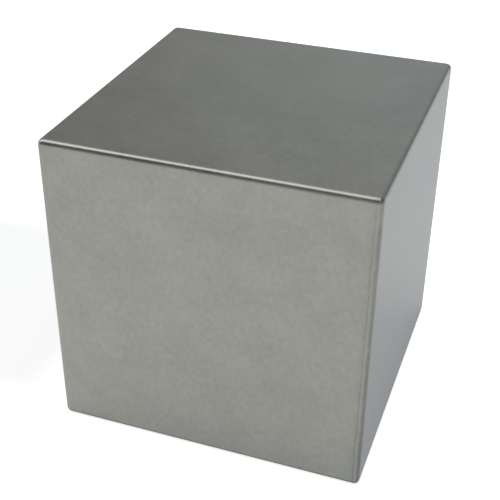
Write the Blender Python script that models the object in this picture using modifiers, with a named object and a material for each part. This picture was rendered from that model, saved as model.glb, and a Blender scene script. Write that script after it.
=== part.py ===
"""A solid metal cube with finely rounded edges, made from one block and with nothing inside it.

The cube stands on the XY plane, and the origin is the middle of the face that it rests on.
Its front looks along -Y, its right side along +X and its top along +Z. Lengths are in metres.
"""

import bpy

# Driving dimensions
CUBE_EDGE = 0.0381  # between opposite faces, the same along X, Y and Z
EDGE_RADIUS = 0.00053  # of the rounding that takes the sharpness off the edges and corners
ROUND_SEGMENTS = 8  # strips across the quarter circle of each rounded edge

# The rounding uses up this share of the cube at most, so that each face keeps a flat middle
LARGEST_ROUND_SHARE = 0.45

# Bare ground metal
METAL_COLOUR = (0.33, 0.33, 0.31, 1.0)
METAL_ROUGHNESS = 0.38


def clear_scene():
    """Remove the objects that the file opened with."""
    for leftover in list(bpy.data.objects):
        bpy.data.objects.remove(leftover, do_unlink=True)


def new_collection(name):
    """Make the collection that holds the object's parts."""
    collection = bpy.data.collections.new(name)
    bpy.context.scene.collection.children.link(collection)
    return collection


def ground_metal():
    """Make the heavy grey metal, with the satin look that grinding leaves on it."""
    material = bpy.data.materials.new("ground_metal")
    material.use_nodes = True
    shader = material.node_tree.nodes["Principled BSDF"]
    shader.inputs["Base Color"].default_value = METAL_COLOUR
    shader.inputs["Metallic"].default_value = 1.0
    shader.inputs["Roughness"].default_value = METAL_ROUGHNESS
    return material


def round_edges(part, radius, segments):
    """Round every edge of a part, with a ball corner wherever edges meet."""
    bevel = part.modifiers.new("rounded_edges", "BEVEL")
    bevel.offset_type = "OFFSET"
    bevel.width = radius
    bevel.segments = segments
    bevel.limit_method = "NONE"
    bevel.harden_normals = True


def metal_cube(collection, material):
    """Make the cube, the object's only piece, standing on the ground."""
    resting_height = CUBE_EDGE / 2
    bpy.ops.mesh.primitive_cube_add(size=CUBE_EDGE, location=(0.0, 0.0, resting_height))
    cube = bpy.context.object
    cube.name = "metal_cube"
    cube.data.name = "metal_cube"
    cube.data.materials.append(material)
    cube.data.shade_smooth()
    radius = min(EDGE_RADIUS, LARGEST_ROUND_SHARE * CUBE_EDGE)
    round_edges(cube, radius, ROUND_SEGMENTS)
    for other_collection in list(cube.users_collection):
        other_collection.objects.unlink(cube)
    collection.objects.link(cube)
    return cube


clear_scene()
metal_cube(new_collection("solid_metal_cube"), ground_metal())
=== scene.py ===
"""Looks of a solid, satin-ground metal cube, laid out as a Blender add-on.

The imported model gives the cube's place and size. One operator models the visible cube and gives
it its ground finish. The other sets the stage: a pale floor, soft studio light and the camera.
"""

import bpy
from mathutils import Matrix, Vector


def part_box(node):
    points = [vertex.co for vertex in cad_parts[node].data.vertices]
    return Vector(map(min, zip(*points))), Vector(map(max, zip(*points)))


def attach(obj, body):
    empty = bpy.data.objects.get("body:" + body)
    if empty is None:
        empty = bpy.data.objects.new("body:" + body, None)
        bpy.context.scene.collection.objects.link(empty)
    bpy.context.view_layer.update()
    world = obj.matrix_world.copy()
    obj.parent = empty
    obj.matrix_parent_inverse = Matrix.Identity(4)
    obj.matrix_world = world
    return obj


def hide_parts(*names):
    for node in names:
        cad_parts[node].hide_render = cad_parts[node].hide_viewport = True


bl_info = {
    "name": "Ground Metal Cube",
    "version": (1, 0, 0),
    "blender": (4, 5, 0),
    "location": "View3D > Sidebar > Metal Cube",
    "description": "Models a satin-ground metal cube and the studio that it stands in",
    "category": "Add Mesh",
}

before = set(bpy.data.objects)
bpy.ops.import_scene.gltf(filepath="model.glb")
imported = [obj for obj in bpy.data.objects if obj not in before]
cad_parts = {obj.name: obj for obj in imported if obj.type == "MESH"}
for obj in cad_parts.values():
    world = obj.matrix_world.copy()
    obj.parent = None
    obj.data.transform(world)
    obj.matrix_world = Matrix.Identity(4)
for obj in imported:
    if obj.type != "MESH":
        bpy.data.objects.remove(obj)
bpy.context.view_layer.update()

import math
from collections import namedtuple

import bmesh
import bpy
from bpy.props import FloatProperty, FloatVectorProperty, IntProperty, PointerProperty
from bpy.types import Operator, Panel, PropertyGroup
from mathutils import Matrix, Vector

CUBE_LOW, CUBE_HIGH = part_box("metal_cube")
CUBE_CENTRE = (CUBE_LOW + CUBE_HIGH) / 2
CUBE_EDGE = CUBE_HIGH.x - CUBE_LOW.x
GROUND_Z = CUBE_LOW.z

MM = 0.001
WHITE = (1.0, 1.0, 1.0, 1.0)


# ---------------------------------------------------------------------------------------------
# Sizes and colours that a user would change


class CubeShape(PropertyGroup):
    """Shape of the visible cube."""

    edge_width: FloatProperty(
        name="Edge Width",
        description="How far the rounding of an edge reaches into each face",
        default=0.85 * MM,
        min=0.0,
        unit="LENGTH",
    )
    edge_squareness: FloatProperty(
        name="Edge Squareness",
        description="0.5 rounds an edge as a plain arc, more makes it tighter with a soft roll-off",
        default=0.60,
        min=0.5,
        max=0.95,
        subtype="FACTOR",
    )
    edge_segments: IntProperty(
        name="Edge Segments",
        description="Strips across each rounded edge",
        default=16,
        min=2,
        max=32,
    )
    face_border: FloatProperty(
        name="Face Border",
        description="Width of the border loop that keeps each ground face flat",
        default=1.2 * MM,
        min=0.0,
        unit="LENGTH",
    )


class MetalFinish(PropertyGroup):
    """Finish that grinding and handling leave on the metal, and the colour of a painted cool
    reflection on its top.
    """

    metal_colour: FloatVectorProperty(
        name="Metal Colour",
        description="Colour that the bare metal reflects",
        subtype="COLOR",
        size=3,
        min=0.0,
        max=1.0,
        default=(0.383, 0.370, 0.303),
    )
    face_roughness: FloatProperty(
        name="Face Roughness",
        description="Roughness of the ground faces",
        subtype="FACTOR",
        min=0.0,
        max=1.0,
        default=0.38,
    )
    edge_polish: FloatProperty(
        name="Edge Polish",
        description="How much smoother handling has made the rounded edges",
        subtype="FACTOR",
        min=0.0,
        max=1.0,
        default=0.05,
    )
    grain_size: FloatProperty(
        name="Grain Size",
        description="Size of the finest marks of the abrasive",
        default=0.55 * MM,
        min=0.01 * MM,
        unit="LENGTH",
    )
    grain_depth: FloatProperty(
        name="Grain Depth",
        description="Depth of the finest marks of the abrasive",
        default=0.0012 * MM,
        min=0.0,
        unit="LENGTH",
    )
    grain_contrast: FloatProperty(
        name="Grain Contrast",
        description="How much the finest marks lighten and darken the metal",
        subtype="FACTOR",
        default=0.13,
        min=0.0,
        max=1.0,
    )
    cloud_size: FloatProperty(
        name="Cloud Size",
        description="Size of the soft patches that an uneven grind leaves",
        default=6.5 * MM,
        min=0.1 * MM,
        unit="LENGTH",
    )
    cloud_contrast: FloatProperty(
        name="Cloud Contrast",
        description="How much the soft patches lighten and darken the metal",
        subtype="FACTOR",
        default=0.17,
        min=0.0,
        max=1.0,
    )
    tint_size: FloatProperty(
        name="Tint Size",
        description="Size of the patches of thin oxide that tint the metal",
        default=10.0 * MM,
        min=0.1 * MM,
        unit="LENGTH",
    )
    warm_tint: FloatVectorProperty(
        name="Warm Tint",
        description="Colour of the metal under the warmer oxide",
        subtype="COLOR",
        size=3,
        min=0.0,
        max=2.0,
        default=(1.007, 0.998, 0.991),
    )
    cool_tint: FloatVectorProperty(
        name="Cool Tint",
        description="Colour of the metal under the cooler oxide",
        subtype="COLOR",
        size=3,
        min=0.0,
        max=2.0,
        default=(0.993, 1.002, 1.009),
    )
    # Colour of a painted cool reflection on the top of the cube.
    reflection_patch_tint: FloatVectorProperty(
        name="Patch Tint",
        description="Colour of the metal in the cool patch on the right of the top",
        subtype="COLOR",
        size=3,
        min=0.0,
        max=2.0,
        default=(0.955, 1.0, 1.0),
    )


class StudioSetup(PropertyGroup):
    """Floor, light and camera."""

    floor_reach: FloatProperty(
        name="Floor Reach",
        description="Distance from the cube to the rim of the floor",
        default=4.0,
        min=0.1,
        unit="LENGTH",
    )
    floor_shade: FloatProperty(
        name="Floor Shade",
        description="Share of the light that the floor sends back",
        subtype="FACTOR",
        default=0.80,
        min=0.0,
        max=1.0,
    )
    floor_tint: FloatVectorProperty(
        name="Floor Tint",
        description="Colour of the card, a little warm so that it looks white in the cool light",
        subtype="COLOR",
        size=3,
        min=0.0,
        max=1.0,
        default=(1.0, 1.0, 0.89),
    )
    floor_glow: FloatProperty(
        name="Floor Glow",
        description="Light that comes up through the floor",
        default=0.353,
        min=0.0,
    )
    glow_colour: FloatVectorProperty(
        name="Glow Colour",
        description="Cool colour of the light that comes up through the floor",
        subtype="COLOR",
        size=3,
        min=0.0,
        max=2.0,
        default=(0.900, 1.0, 1.27),
    )
    floor_lift: FloatProperty(
        name="Floor Lift",
        description="Extra white of the floor where the camera looks at it directly",
        default=0.42,
        min=0.0,
    )
    light_strength: FloatProperty(
        name="Light Strength",
        description="Strength of all the soft panels together",
        default=1.0,
        min=0.0,
    )
    lens: FloatProperty(
        name="Lens",
        description="Focal length of the camera in millimetres",
        default=72.5,
        min=1.0,
    )
    azimuth: FloatProperty(
        name="Camera Azimuth",
        description="How far round to the right of the front the camera stands",
        subtype="ANGLE",
        default=math.radians(18.52),
    )
    elevation: FloatProperty(
        name="Camera Elevation",
        description="How far above the horizon the camera stands",
        subtype="ANGLE",
        default=math.radians(31.40),
    )
    roll: FloatProperty(
        name="Camera Roll",
        description="Turn of the camera about its own line of sight",
        subtype="ANGLE",
        default=math.radians(0.69),
    )
    distance: FloatProperty(
        name="Camera Distance",
        description="From the camera to the middle of the cube",
        default=3.349 * CUBE_EDGE,
        min=0.001,
        unit="LENGTH",
    )


# ---------------------------------------------------------------------------------------------
# Small helpers for node trees


def feed(tree, socket, value):
    """Link a socket to another socket, or set it to a plain value."""
    if value is None:
        return
    if isinstance(value, bpy.types.NodeSocket):
        tree.links.new(value, socket)
    else:
        socket.default_value = value


def math_node(tree, operation, first, second=None, third=None):
    """Work out one step on numbers."""
    node = tree.nodes.new("ShaderNodeMath")
    node.operation = operation
    for socket, value in zip(node.inputs, (first, second, third)):
        feed(tree, socket, value)
    return node.outputs[0]


def vector_node(tree, operation, first, second=None, scale=None):
    """Work out one step on vectors or colours."""
    node = tree.nodes.new("ShaderNodeVectorMath")
    node.operation = operation
    feed(tree, node.inputs[0], first)
    feed(tree, node.inputs[1], second)
    if operation == "SCALE":
        feed(tree, node.inputs["Scale"], scale)
    return node.outputs["Value" if operation in ("DOT_PRODUCT", "LENGTH") else "Vector"]


def fade(tree, value, full, none):
    """Go softly from 1 where value is at full to 0 where it is at none."""
    node = tree.nodes.new("ShaderNodeMapRange")
    node.interpolation_type = "SMOOTHSTEP"
    feed(tree, node.inputs["Value"], value)
    feed(tree, node.inputs["From Min"], full)
    feed(tree, node.inputs["From Max"], none)
    node.inputs["To Min"].default_value = 1.0
    node.inputs["To Max"].default_value = 0.0
    return node.outputs["Result"]


def parts_of(tree, vector):
    """Take a vector apart into its X, Y and Z."""
    node = tree.nodes.new("ShaderNodeSeparateXYZ")
    feed(tree, node.inputs[0], vector)
    return node.outputs


# The Mix node's own places for its two colours and its blended colour.
MIX_FIRST = 6
MIX_SECOND = 7
MIX_RESULT = 2


def blend_colours(tree, share, first, second):
    """Blend two colours, the second by the given share."""
    node = tree.nodes.new("ShaderNodeMix")
    node.data_type = "RGBA"
    feed(tree, node.inputs["Factor"], share)
    feed(tree, node.inputs[MIX_FIRST], first)
    feed(tree, node.inputs[MIX_SECOND], second)
    return node.outputs[MIX_RESULT]


# How strong each finer layer of a pattern is, next to the layer before it.
LAYER_STRENGTH = 0.65


def signed_noise(tree, place, size, start, layers):
    """Smooth noise from about -1 to 1, with patches of the given size."""
    moved = vector_node(tree, "ADD", place, start)
    per_size = math_node(tree, "DIVIDE", 1.0, size)
    scaled = vector_node(tree, "SCALE", moved, scale=per_size)
    noise = tree.nodes.new("ShaderNodeTexNoise")
    feed(tree, noise.inputs["Vector"], scaled)
    noise.inputs["Scale"].default_value = 1.0
    noise.inputs["Detail"].default_value = layers
    noise.inputs["Roughness"].default_value = LAYER_STRENGTH
    return math_node(tree, "MULTIPLY_ADD", noise.outputs["Fac"], 2.0, -1.0)


def new_group(name, given, results):
    """Start a node group with named inputs and outputs."""
    tree = bpy.data.node_groups.new(name, "ShaderNodeTree")
    for in_out, sockets in (("INPUT", given), ("OUTPUT", results)):
        for title, kind in sockets.items():
            tree.interface.new_socket(title, in_out=in_out, socket_type="NodeSocket" + kind)
    return tree, tree.nodes.new("NodeGroupInput").outputs, tree.nodes.new("NodeGroupOutput").inputs


def place_group(tree, group, **given):
    """Put a node group in a tree, fed by sockets or values, and give back its outputs."""
    node = tree.nodes.new("ShaderNodeGroup")
    node.node_tree = group
    for title, value in given.items():
        feed(tree, node.inputs[title.replace("_", " ").title()], value)
    return node.outputs


# ---------------------------------------------------------------------------------------------
# Effects, as node groups


# The grinder ran upright, so its finest marks are longer that way.
GRAIN_STRETCH = (1.0, 1.0, 0.75)

# Each pattern starts from a place of its own, in metres, so that no two line up.
GRAIN_START = (0.011, 0.023, 0.037)
CLOUD_START = (0.053, 0.071, 0.017)
TINT_START = (0.029, 0.047, 0.083)
WANDER_START = (0.061, 0.019, 0.043)

GRAIN_LAYERS = 1.5
CLOUD_LAYERS = 3.0
TINT_LAYERS = 1.0
WANDER_LAYERS = 1.0


def ground_grain_group():
    """Node group: marks that an abrasive leaves, from the finest scratches to soft patches."""
    given = {"Place": "Vector", "Grain Size": "Float", "Cloud Size": "Float"}
    tree, place, result = new_group("ground_grain", given, {"Grain": "Float", "Cloud": "Float"})
    drawn_out = vector_node(tree, "MULTIPLY", place["Place"], GRAIN_STRETCH)
    fine = signed_noise(tree, drawn_out, place["Grain Size"], GRAIN_START, GRAIN_LAYERS)
    soft = signed_noise(tree, place["Place"], place["Cloud Size"], CLOUD_START, CLOUD_LAYERS)
    feed(tree, result["Grain"], fine)
    feed(tree, result["Cloud"], soft)
    return tree


# The drifting tint is even in the middle and reaches its two colours this fast.
TINT_MIDDLE = 0.5
TINT_SPREAD = 1.4


def oxide_tint_group():
    """Node group: a faint tint that drifts between two colours, as thin oxide does."""
    given = {"Place": "Vector", "Tint Size": "Float", "Warm": "Color", "Cool": "Color"}
    tree, place, result = new_group("oxide_tint", given, {"Tint": "Color"})
    drift = signed_noise(tree, place["Place"], place["Tint Size"], TINT_START, TINT_LAYERS)
    share = math_node(tree, "MULTIPLY_ADD", drift, TINT_SPREAD, TINT_MIDDLE)
    feed(tree, result["Tint"], blend_colours(tree, share, place["Warm"], place["Cool"]))
    return tree


def edge_wear_group():
    """Node group: mask of the rounded edges of a cube, by distance from the nearest edge."""
    given = {"Place": "Vector", "Centre": "Vector", "Half Size": "Float", "Reach": "Float"}
    tree, place, result = new_group("edge_wear", given, {"Edge": "Float"})
    from_centre = vector_node(tree, "SUBTRACT", place["Place"], place["Centre"])
    off = parts_of(tree, vector_node(tree, "ABSOLUTE", from_centre))
    lesser = math_node(tree, "MINIMUM", off["X"], off["Y"])
    greater = math_node(tree, "MAXIMUM", off["X"], off["Y"])
    capped = math_node(tree, "MINIMUM", greater, off["Z"])
    second = math_node(tree, "MAXIMUM", lesser, capped)
    distance = math_node(tree, "SUBTRACT", place["Half Size"], second)
    feed(tree, result["Edge"], fade(tree, distance, 0.0, place["Reach"]))
    return tree


def soft_panel_group():
    """Node group: light of a round, soft-edged panel, seen from the middle of the studio."""
    given = {
        "Direction": "Vector", "Aim": "Vector", "Inner": "Float", "Outer": "Float",
        "Colour": "Color", "Strength": "Float",
    }
    tree, place, result = new_group("soft_panel", given, {"Light": "Color"})
    angle = math_node(
        tree, "ARCCOSINE", vector_node(tree, "DOT_PRODUCT", place["Direction"], place["Aim"])
    )
    level = math_node(
        tree, "MULTIPLY", fade(tree, angle, place["Inner"], place["Outer"]), place["Strength"]
    )
    feed(tree, result["Light"], vector_node(tree, "SCALE", place["Colour"], scale=level))
    return tree


# ---------------------------------------------------------------------------------------------
# Metal of the cube

# How much the marks and the patches change the roughness.
GRAIN_TO_ROUGHNESS = 0.03
CLOUD_TO_ROUGHNESS = 0.05

# Painted reflections of light and shade along the upright edge between the front and the right: how
# far the middle of each band lies from the side of the cube, half its width, and how much it
# lightens or darkens the metal.
EdgeBand = namedtuple("EdgeBand", "name middle half_width change")
EDGE_BANDS = (
    EdgeBand("dull round", 0.18 * MM, 0.36 * MM, -0.26),
    EdgeBand("bright line", 0.53 * MM, 0.14 * MM, 0.03),
    EdgeBand("fine groove", 0.73 * MM, 0.16 * MM, -0.12),
    EdgeBand("soft border", 0.60 * MM, 1.10 * MM, -0.07),
)

# How far those bands wander to either side, and over what length.
WANDER_WIDTH = 0.12 * MM
WANDER_LENGTH = 2.5 * MM

# Strength of the painted reflections at the top of the edge, and how much more they have at its
# foot, where the reflected floor lies in deeper shade.
BANDS_AT_TOP = 0.80
BANDS_TO_FOOT = 0.55

# The bands fade out this far behind the front face.
BANDS_FULL = 0.25 * MM
BANDS_NONE = 0.60 * MM

# Painted cool reflection on the top, in cube edges from the middle of the cube.
PATCH_MIDDLE = (0.20, 0.12, 0.45)
PATCH_FULL = 0.12
PATCH_NONE = 0.58

# Painted shade: a darker line around the foot of the cube, where it meets what it stands on.
FOOT_CHANGE = -0.28
FOOT_FULL = 0.30 * MM
FOOT_NONE = 0.70 * MM


def painted_edge_reflections(tree, place):
    """Painted reflections of light and shade along the upright edge between the front and the right
    of the cube.
    """
    at = parts_of(tree, place)
    wander = signed_noise(tree, place, WANDER_LENGTH, WANDER_START, WANDER_LAYERS)
    side = math_node(tree, "MULTIPLY_ADD", wander, WANDER_WIDTH, CUBE_HIGH.x)
    inward = math_node(tree, "SUBTRACT", side, at["X"])
    behind = math_node(tree, "SUBTRACT", at["Y"], CUBE_LOW.y)
    below_top = math_node(tree, "SUBTRACT", CUBE_HIGH.z, at["Z"])
    tone = 0.0
    for band in EDGE_BANDS:
        off = math_node(tree, "ABSOLUTE", math_node(tree, "SUBTRACT", inward, band.middle))
        inside = fade(tree, off, 0.0, band.half_width)
        tone = math_node(tree, "MULTIPLY_ADD", inside, band.change, tone)
    strength = math_node(
        tree, "MULTIPLY_ADD", below_top, BANDS_TO_FOOT / CUBE_EDGE, BANDS_AT_TOP
    )
    tone = math_node(tree, "MULTIPLY", tone, strength)
    return math_node(tree, "MULTIPLY", tone, fade(tree, behind, BANDS_FULL, BANDS_NONE))


def painted_cool_reflection(tree, place, tint):
    """Colour of the painted cool reflection that reaches over the top right edge."""
    middle = CUBE_CENTRE + Vector(PATCH_MIDDLE) * CUBE_EDGE
    away = vector_node(tree, "LENGTH", vector_node(tree, "SUBTRACT", place, middle))
    share = fade(tree, away, PATCH_FULL * CUBE_EDGE, PATCH_NONE * CUBE_EDGE)
    change = vector_node(tree, "SCALE", tuple(part - 1.0 for part in tint), scale=share)
    return vector_node(tree, "ADD", change, (1.0, 1.0, 1.0))


def painted_foot_shade(tree, place):
    """Painted shade around the foot of the cube."""
    height = math_node(tree, "SUBTRACT", parts_of(tree, place)["Z"], CUBE_LOW.z)
    return math_node(tree, "MULTIPLY", fade(tree, height, FOOT_FULL, FOOT_NONE), FOOT_CHANGE)


def ground_metal(finish, shape, grain_group):
    """Satin-ground heavy metal: fine even grain, soft patches, faint tints and smoother edges, with
    painted reflections along one upright edge and on the top, and painted shade around the foot.
    """
    material = bpy.data.materials.new("ground_metal_finish")
    material.use_nodes = True
    tree = material.node_tree
    shader = tree.nodes["Principled BSDF"]
    shader.inputs["Metallic"].default_value = 1.0
    place = tree.nodes.new("ShaderNodeTexCoord").outputs["Object"]
    marks = place_group(
        tree, grain_group, place=place, grain_size=finish.grain_size, cloud_size=finish.cloud_size
    )
    tint = place_group(
        tree, oxide_tint_group(), place=place, tint_size=finish.tint_size,
        warm=(*finish.warm_tint, 1.0), cool=(*finish.cool_tint, 1.0),
    )
    wear = place_group(
        tree, edge_wear_group(), place=place, centre=CUBE_CENTRE, half_size=CUBE_EDGE / 2,
        reach=shape.edge_width,
    )
    tone = math_node(tree, "MULTIPLY_ADD", marks["Grain"], finish.grain_contrast, 1.0)
    tone = math_node(tree, "MULTIPLY_ADD", marks["Cloud"], finish.cloud_contrast, tone)
    # Painted reflections of light and shade along the front right upright edge.
    tone = math_node(tree, "ADD", tone, painted_edge_reflections(tree, place))
    # Painted shade around the foot of the cube.
    tone = math_node(tree, "ADD", tone, painted_foot_shade(tree, place))
    tinted = vector_node(tree, "MULTIPLY", tint["Tint"], tuple(finish.metal_colour))
    # Painted cool reflection on the top.
    tinted = vector_node(tree, "MULTIPLY", tinted, painted_cool_reflection(tree, place, finish.reflection_patch_tint))
    feed(tree, shader.inputs["Base Color"], vector_node(tree, "SCALE", tinted, scale=tone))
    rough = math_node(
        tree, "MULTIPLY_ADD", marks["Grain"], GRAIN_TO_ROUGHNESS, finish.face_roughness
    )
    rough = math_node(tree, "MULTIPLY_ADD", marks["Cloud"], CLOUD_TO_ROUGHNESS, rough)
    rough = math_node(tree, "MULTIPLY_ADD", wear["Edge"], -finish.edge_polish, rough)
    feed(tree, shader.inputs["Roughness"], rough)
    bump = tree.nodes.new("ShaderNodeBump")
    bump.inputs["Distance"].default_value = finish.grain_depth
    feed(tree, bump.inputs["Height"], marks["Grain"])
    feed(tree, shader.inputs["Normal"], bump.outputs["Normal"])
    return material


# ---------------------------------------------------------------------------------------------
# Modelling


def select_faces(mesh, wanted):
    """In edit mode, select only the faces that a test picks out."""
    bpy.ops.mesh.select_all(action="DESELECT")
    cage = bmesh.from_edit_mesh(mesh)
    for face in cage.faces:
        face.select_set(wanted(face))
    bmesh.update_edit_mesh(mesh)


class OBJECT_OT_metal_cube(Operator):
    """Model the visible cube with its rounded edges and ground finish"""

    bl_idname = "object.build_metal_cube"
    bl_label = "Build Metal Cube"
    bl_options = {"REGISTER", "UNDO"}

    def execute(self, context):
        shape = context.scene.cube_shape
        bpy.ops.object.select_all(action="DESELECT")
        bpy.ops.mesh.primitive_cube_add(size=CUBE_EDGE, location=CUBE_CENTRE)
        cube = context.object
        cube.name = "ground_metal_cube"
        self.round_edges(cube.data, shape)
        self.finish_faces(cube)
        bpy.ops.object.transform_apply(location=True, rotation=True, scale=True)
        metal = ground_metal(context.scene.metal_finish, shape, ground_grain_group())
        cube.data.materials.append(metal)
        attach(cube, "root")
        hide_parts("metal_cube")
        return {"FINISHED"}

    def round_edges(self, mesh, shape):
        """Round the twelve edges and eight corners, then give each flat face a border loop."""
        bpy.ops.object.mode_set(mode="EDIT")
        bpy.ops.mesh.select_mode(type="FACE")
        bpy.ops.mesh.select_all(action="SELECT")
        bpy.ops.mesh.bevel(
            offset=shape.edge_width,
            segments=shape.edge_segments,
            profile=shape.edge_squareness,
            affect="EDGES",
        )
        flat_area = (CUBE_EDGE / 2) ** 2
        select_faces(mesh, lambda face: face.calc_area() > flat_area)
        bpy.ops.mesh.inset(thickness=shape.face_border, use_individual=True)
        bpy.ops.mesh.select_all(action="SELECT")
        bpy.ops.mesh.normals_make_consistent(inside=False)
        bpy.ops.object.mode_set(mode="OBJECT")

    def finish_faces(self, cube):
        """Shade the rounding smoothly while the ground faces stay flat."""
        bpy.ops.object.shade_smooth()
        flat = cube.modifiers.new("flat_faces", "WEIGHTED_NORMAL")
        flat.mode = "FACE_AREA"
        bpy.ops.object.modifier_apply(modifier=flat.name)


# ---------------------------------------------------------------------------------------------
# Studio

SoftPanel = namedtuple("SoftPanel", "name azimuth elevation inner outer colour strength")

# Azimuths run from the back towards the right. All angles are in degrees. Directions and sizes were
# given, and so were the strengths of the front, front right, right, right high, back left far and
# back left high panels. The other nine strengths and tints are the rounded results of a
# least-squares fit that another program made, and so is the floor's glow.
SOFT_PANELS = (
    SoftPanel("overhead", 0, 90, 12, 35, (0.985, 1.0, 1.16), 1.467),
    SoftPanel("overhead left", -90, 55, 8, 30, (1.00, 1.0, 1.145), 1.851),
    SoftPanel("overhead back", 0, 60, 8, 30, (1.013, 1.0, 1.165), 0.60),
    SoftPanel("left, high", -90, 36, 6, 22, (1.01, 1.0, 1.145), 0.68),
    SoftPanel("left", -95, 22, 5, 30, (1.01, 1.0, 1.145), 0.95),
    SoftPanel("front", 180, 18, 5, 26, (1.00, 1.0, 1.06), 0.40),
    SoftPanel("front right", 140, 20, 5, 32, (1.00, 1.0, 1.06), 0.45),
    SoftPanel("right", 95, 15, 5, 35, (0.98, 1.0, 1.08), 0.30),
    SoftPanel("right, high", 80, 36, 6, 22, (0.98, 1.0, 1.08), 0.15),
    SoftPanel("back right, far", 62, 15, 5, 35, (0.76, 1.0, 1.08), 0.222),
    SoftPanel("back right", 24, 15, 5, 30, (0.909, 1.0, 1.093), 0.288),
    SoftPanel("back", -4, 18, 5, 28, (0.884, 1.0, 1.158), 0.490),
    SoftPanel("back left", -30, 18, 5, 28, (0.952, 1.0, 0.997), 0.233),
    SoftPanel("back left, far", -58, 18, 5, 30, (0.98, 1.0, 1.06), 0.08),
    SoftPanel("back left, high", -50, 38, 6, 22, (0.98, 1.0, 1.06), 0.15),
)
# Light that comes from everywhere else in the room.
ROOM_LIGHT = (0.067, 0.070, 0.077)

# The camera looks at this point, in cube edges from the middle of the cube. It stands so close
# that it has to see from a few millimetres on.
AIM_POINT = (-0.0205, -0.0315, -0.036)
NEAR_CLIP = 5.0 * MM

# Painted faint shadow on the floor to the left of the cube, in cube edges from the middle of its
# base.
# Each pair says where it is full and where it has gone.
SHADOW_MIDDLE = 0.045
SHADOW_HALF_WIDTH = (0.42, 0.68)
SHADOW_REACH = (1.8, 5.0)
SHADOW_START = (-0.75, -0.45)
SHADOW_DEPTH = 0.86

# No light comes up through the floor where the cube stands.
CONTACT_REACH = 0.3 * MM

FLOOR_SIDES = 96
PAPER_GRAIN = 0.6 * MM
PAPER_CLOUD = 40.0 * MM
PAPER_CONTRAST = 0.02


def towards(azimuth, elevation):
    """Unit vector from the middle of the studio, by degrees from the back and up."""
    across = math.radians(azimuth)
    up = math.radians(elevation)
    return Vector((math.sin(across) * math.cos(up), math.cos(across) * math.cos(up), math.sin(up)))


def studio_world(setup):
    """World of soft panels in a dim room, with a plain pale backdrop behind the cube."""
    world = bpy.data.worlds.new("studio")
    world.use_nodes = True
    tree = world.node_tree
    tree.nodes.clear()
    direction = tree.nodes.new("ShaderNodeTexCoord").outputs["Generated"]
    group = soft_panel_group()
    light = None
    for panel in SOFT_PANELS:
        shine = place_group(
            tree, group, direction=direction, aim=towards(panel.azimuth, panel.elevation),
            inner=math.radians(panel.inner), outer=math.radians(panel.outer),
            colour=(*panel.colour, 1.0), strength=panel.strength * setup.light_strength,
        )["Light"]
        light = vector_node(tree, "ADD", shine, ROOM_LIGHT if light is None else light)
    studio = tree.nodes.new("ShaderNodeBackground")
    feed(tree, studio.inputs["Color"], light)
    backdrop = tree.nodes.new("ShaderNodeBackground")
    backdrop.inputs["Color"].default_value = WHITE
    direct = tree.nodes.new("ShaderNodeLightPath").outputs["Is Camera Ray"]
    either = tree.nodes.new("ShaderNodeMixShader")
    feed(tree, either.inputs[0], direct)
    feed(tree, either.inputs[1], studio.outputs[0])
    feed(tree, either.inputs[2], backdrop.outputs[0])
    output = tree.nodes.new("ShaderNodeOutputWorld")
    feed(tree, output.inputs["Surface"], either.outputs[0])
    return world


def faint_shadow(tree, place):
    """Mask of the painted soft shadow to the left of the cube."""
    at = parts_of(tree, vector_node(tree, "SCALE", place, scale=1.0 / CUBE_EDGE))
    off = math_node(tree, "SUBTRACT", at["Y"], SHADOW_MIDDLE)
    inside = fade(tree, math_node(tree, "ABSOLUTE", off), *SHADOW_HALF_WIDTH)
    near = fade(tree, math_node(tree, "MULTIPLY", at["X"], -1.0), *SHADOW_REACH)
    left = fade(tree, at["X"], *SHADOW_START)
    return math_node(tree, "MULTIPLY", math_node(tree, "MULTIPLY", inside, near), left)


def contact_shade(tree, place):
    """Mask of the floor right under the cube."""
    off = parts_of(tree, vector_node(tree, "ABSOLUTE", place))
    reach = math_node(tree, "MAXIMUM", off["X"], off["Y"])
    return fade(tree, reach, CUBE_EDGE / 2 - CONTACT_REACH, CUBE_EDGE / 2 + CONTACT_REACH)


def pale_floor(setup, grain_group):
    """White card, lit a little from below, that stays white where the camera looks at it."""
    material = bpy.data.materials.new("pale_floor")
    material.use_nodes = True
    tree = material.node_tree
    shader = tree.nodes["Principled BSDF"]
    shader.inputs["Roughness"].default_value = 1.0
    shader.inputs["Specular IOR Level"].default_value = 0.0
    place = tree.nodes.new("ShaderNodeTexCoord").outputs["Object"]
    paper = place_group(
        tree, grain_group, place=place, grain_size=PAPER_GRAIN, cloud_size=PAPER_CLOUD
    )
    tone = math_node(tree, "MULTIPLY_ADD", paper["Grain"], PAPER_CONTRAST, setup.floor_shade)
    tone = math_node(tree, "MULTIPLY_ADD", paper["Cloud"], PAPER_CONTRAST, tone)
    card = vector_node(tree, "SCALE", tuple(setup.floor_tint), scale=tone)
    feed(tree, shader.inputs["Base Color"], card)
    direct = tree.nodes.new("ShaderNodeLightPath").outputs["Is Camera Ray"]
    colour = blend_colours(tree, direct, (*setup.glow_colour, 1.0), WHITE)
    feed(tree, shader.inputs["Emission Color"], colour)
    # Painted shadow: the floor gets less lift to the left of the cube.
    lit = math_node(tree, "MULTIPLY_ADD", faint_shadow(tree, place), -SHADOW_DEPTH, 1.0)
    lift = math_node(tree, "MULTIPLY", math_node(tree, "MULTIPLY", lit, direct), setup.floor_lift)
    indirect = math_node(tree, "SUBTRACT", 1.0, direct)
    shaded = math_node(tree, "MULTIPLY", contact_shade(tree, place), indirect)
    glow = math_node(tree, "MULTIPLY_ADD", shaded, -setup.floor_glow, setup.floor_glow)
    feed(tree, shader.inputs["Emission Strength"], math_node(tree, "ADD", lift, glow))
    return material


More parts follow.
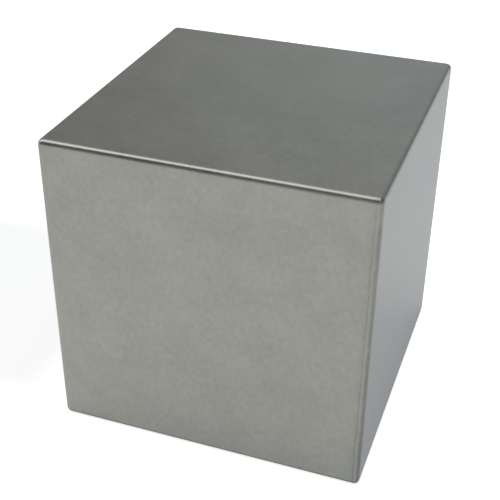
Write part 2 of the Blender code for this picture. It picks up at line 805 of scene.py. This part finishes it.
class SCENE_OT_studio(Operator):
    """Set up the floor, the soft light and the camera"""

    bl_idname = "scene.build_studio"
    bl_label = "Build Studio"
    bl_options = {"REGISTER", "UNDO"}

    def execute(self, context):
        setup = context.scene.studio_setup
        self.lay_floor(context, setup)
        context.scene.world = studio_world(setup)
        self.place_camera(context, setup)
        context.scene.view_settings.view_transform = "Standard"
        return {"FINISHED"}

    def lay_floor(self, context, setup):
        """Lay a wide round floor under the cube."""
        bpy.ops.object.select_all(action="DESELECT")
        bpy.ops.mesh.primitive_circle_add(
            vertices=FLOOR_SIDES, radius=setup.floor_reach, fill_type="NGON",
            location=(0, 0, GROUND_Z),
        )
        floor = context.object
        floor.name = "studio_floor"
        bpy.ops.object.transform_apply(location=True, rotation=True, scale=True)
        grain_group = bpy.data.node_groups.get("ground_grain") or ground_grain_group()
        floor.data.materials.append(pale_floor(setup, grain_group))

    def place_camera(self, context, setup):
        """Stand the camera in front of the cube, a little to its right and above it."""
        lens = bpy.data.cameras.new("studio_camera")
        lens.lens = setup.lens
        lens.clip_start = NEAR_CLIP
        camera = bpy.data.objects.new("studio_camera", lens)
        context.collection.objects.link(camera)
        back = math.pi - setup.azimuth
        away = towards(math.degrees(back), math.degrees(setup.elevation))
        camera.location = CUBE_CENTRE + away * setup.distance
        aim = CUBE_CENTRE + Vector(AIM_POINT) * CUBE_EDGE
        look = (aim - camera.location).to_track_quat("-Z", "Y").to_matrix()
        camera.rotation_euler = (look @ Matrix.Rotation(setup.roll, 3, "Z")).to_euler()
        context.scene.camera = camera


# ---------------------------------------------------------------------------------------------
# Add-on


class VIEW3D_PT_metal_cube(Panel):
    """Buttons that build the cube and its studio"""

    bl_label = "Metal Cube"
    bl_space_type = "VIEW_3D"
    bl_region_type = "UI"
    bl_category = "Metal Cube"

    def draw(self, context):
        layout = self.layout
        scene = context.scene
        for operator, groups in (
            (OBJECT_OT_metal_cube, (scene.cube_shape, scene.metal_finish)),
            (SCENE_OT_studio, (scene.studio_setup,)),
        ):
            box = layout.box()
            for group in groups:
                for name in group.bl_rna.properties.keys():
                    if name not in ("rna_type", "name"):
                        box.prop(group, name)
            box.operator(operator.bl_idname)


CLASSES = (
    CubeShape,
    MetalFinish,
    StudioSetup,
    OBJECT_OT_metal_cube,
    SCENE_OT_studio,
    VIEW3D_PT_metal_cube,
)


def register():
    for cls in CLASSES:
        bpy.utils.register_class(cls)
    bpy.types.Scene.cube_shape = PointerProperty(type=CubeShape)
    bpy.types.Scene.metal_finish = PointerProperty(type=MetalFinish)
    bpy.types.Scene.studio_setup = PointerProperty(type=StudioSetup)


def unregister():
    del bpy.types.Scene.studio_setup
    del bpy.types.Scene.metal_finish
    del bpy.types.Scene.cube_shape
    for cls in reversed(CLASSES):
        bpy.utils.unregister_class(cls)


def main():
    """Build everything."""
    register()
    bpy.ops.object.build_metal_cube()
    bpy.ops.scene.build_studio()


if __name__ == "__main__":
    main()
